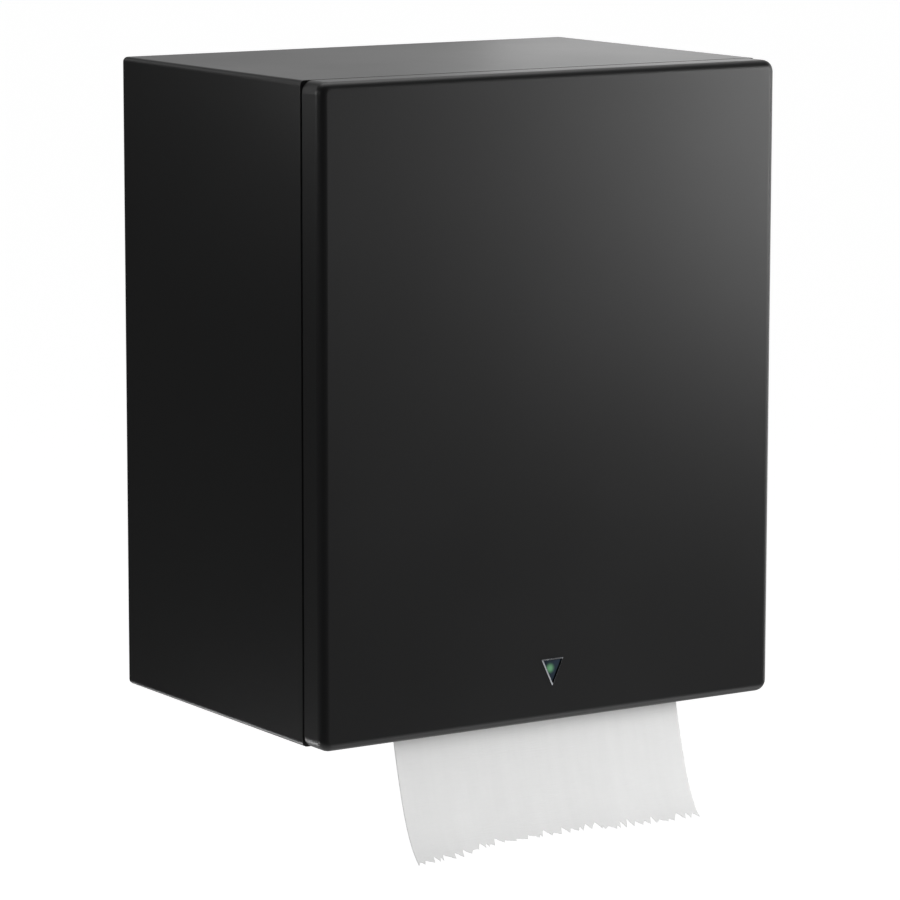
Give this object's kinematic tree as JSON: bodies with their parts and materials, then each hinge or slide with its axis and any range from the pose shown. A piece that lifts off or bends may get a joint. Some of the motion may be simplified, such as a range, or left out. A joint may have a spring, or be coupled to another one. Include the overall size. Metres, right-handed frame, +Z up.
{
  "type": "automatic roll paper towel dispenser",
  "caption": "Wall-hung black steel box that feeds paper towel from a roll; side-hung locking front door with a sensor window, motor-driven rollers, tear bar, battery power.",
  "frame": {"origin": "centre of the four wall screw holes, on the outer face of the casing's back", "axes": "+X to the right seen from the front, +Y into the wall, +Z up; the door's front faces -Y"},
  "size_m": [0.3168, 0.2381, 0.4507],
  "materials": {
    "black_coat": "matte powder coat",
    "dark_glass": "glossy",
    "zinc_steel": "zinc plated",
    "bright_steel": "turned",
    "lock_chrome": "polished",
    "magnet": "ferrite",
    "dark_plastic": "fine grain",
    "grey_plastic": "fine grain",
    "gear_plastic": "natural",
    "button_plastic": "satin",
    "roller_rubber": "matt",
    "towel_paper": "creped",
    "core_board": "plain",
    "bush_brass": "sintered",
    "contact_brass": "sprung",
    "motor_steel": "satin",
    "cell_sleeve": "printed film",
    "board_green": "solder mask",
    "led_green": "clear dome",
    "ir_resin": "dark resin"
  },
  "bodies": {
    "cabinet": {"rear_casing": "black_coat", "hinge_arms": "zinc_steel", "hinge_pins": "bright_steel", "hinge_rivets": "zinc_steel", "lock_barrel": "lock_chrome", "lock_nut": "zinc_steel", "left_roll_arm": "dark_plastic", "right_roll_arm": "dark_plastic", "arm_screws": "zinc_steel", "hub_spring": "bright_steel", "paper_web": "towel_paper", "paper_tail": "towel_paper", "drive_plate_left": "zinc_steel", "drive_plate_right": "zinc_steel", "frame_screws": "zinc_steel", "drive_bushes": "bush_brass", "pivot_rod": "bright_steel", "rear_guide": "dark_plastic", "front_guide": "dark_plastic", "tear_bar": "bright_steel", "tie_rods": "bright_steel", "gear_motor": "motor_steel", "motor_screws": "zinc_steel", "idler_axle": "bright_steel", "battery_tray": "dark_plastic", "battery_cells": "cell_sleeve", "battery_contacts": "contact_brass", "battery_springs": "bright_steel", "control_box": "grey_plastic", "control_board": "board_green", "sensor_housing": "dark_plastic", "sensor_board": "board_green", "status_led": "led_green", "ir_pair": "ir_resin"},
    "door": {"door_panel": "black_coat", "door_lens": "dark_glass", "door_lugs": "zinc_steel", "door_catch": "zinc_steel", "door_magnet": "magnet"},
    "lock": {"lock_plug": "lock_chrome", "lock_cam": "zinc_steel"},
    "roll": {"paper_roll": "towel_paper", "roll_core": "core_board"},
    "hub": {"sprung_hub": "grey_plastic"},
    "drive": {"drive_shaft": "bright_steel", "drive_sleeves": "roller_rubber", "drive_gear": "gear_plastic"},
    "pinch_frame": {"pinch_frame": "grey_plastic", "pinch_springs": "bright_steel"},
    "pinch": {"pinch_shaft": "bright_steel", "pinch_sleeves": "roller_rubber"},
    "idler": {"idler_gear": "gear_plastic"},
    "pinion": {"motor_pinion": "gear_plastic"},
    "button": {"feed_button": "button_plastic"}
  },
  "joints": [
    {"name": "door_hinge", "type": "hinge", "parent": "cabinet", "child": "door", "pos_m": [-0.1515, -0.2195, 0], "axis": [0, 0, -1], "range_deg": [0, 100]},
    {"name": "lock_turn", "type": "hinge", "parent": "cabinet", "child": "lock", "pos_m": [0.145, -0.187, 0], "axis": [-1, 0, 0], "range_deg": [0, 90]},
    {"name": "roll_spin", "type": "hinge", "parent": "cabinet", "child": "roll", "pos_m": [0, -0.1095, 0.0785], "axis": [1, 0, 0], "continuous": true},
    {"name": "hub_slide", "type": "slide", "parent": "cabinet", "child": "hub", "axis": [1, 0, 0], "range_m": [0, 0.009], "stiffness_N_per_m": 600, "springref_m": -0.008, "deforming": ["hub_spring"]},
    {"name": "drive_spin", "type": "hinge", "parent": "cabinet", "child": "drive", "pos_m": [0, -0.17799, -0.12154], "axis": [1, 0, 0], "continuous": true},
    {"name": "pinch_swing", "type": "hinge", "parent": "cabinet", "child": "pinch_frame", "pos_m": [0, -0.18998, -0.084], "axis": [-1, 0, 0], "range_deg": [0, 6], "stiffness_Nm_per_rad": 0.6, "springref_deg": -28.65},
    {"name": "pinch_spin", "type": "hinge", "parent": "pinch_frame", "child": "pinch", "pos_m": [0, -0.2031, -0.11561], "axis": [1, 0, 0], "continuous": true},
    {"name": "idler_spin", "type": "hinge", "parent": "cabinet", "child": "idler", "pos_m": [0.116, -0.14741, -0.13581], "axis": [1, 0, 0], "continuous": true},
    {"name": "pinion_spin", "type": "hinge", "parent": "cabinet", "child": "pinion", "pos_m": [0.116, -0.12771, -0.13928], "axis": [1, 0, 0], "continuous": true},
    {"name": "feed_press", "type": "slide", "parent": "cabinet", "child": "button", "axis": [0, 1, 0], "range_m": [0, 0.002], "stiffness_N_per_m": 400, "springref_m": -0.001}
  ],
  "couplings": [
    {"joint": "drive_spin", "follows": "roll_spin", "ratio": -6.2667},
    {"joint": "pinch_spin", "follows": "roll_spin", "ratio": 9.4},
    {"joint": "idler_spin", "follows": "roll_spin", "ratio": 10.653},
    {"joint": "pinion_spin", "follows": "roll_spin", "ratio": -17.756}
  ]
}
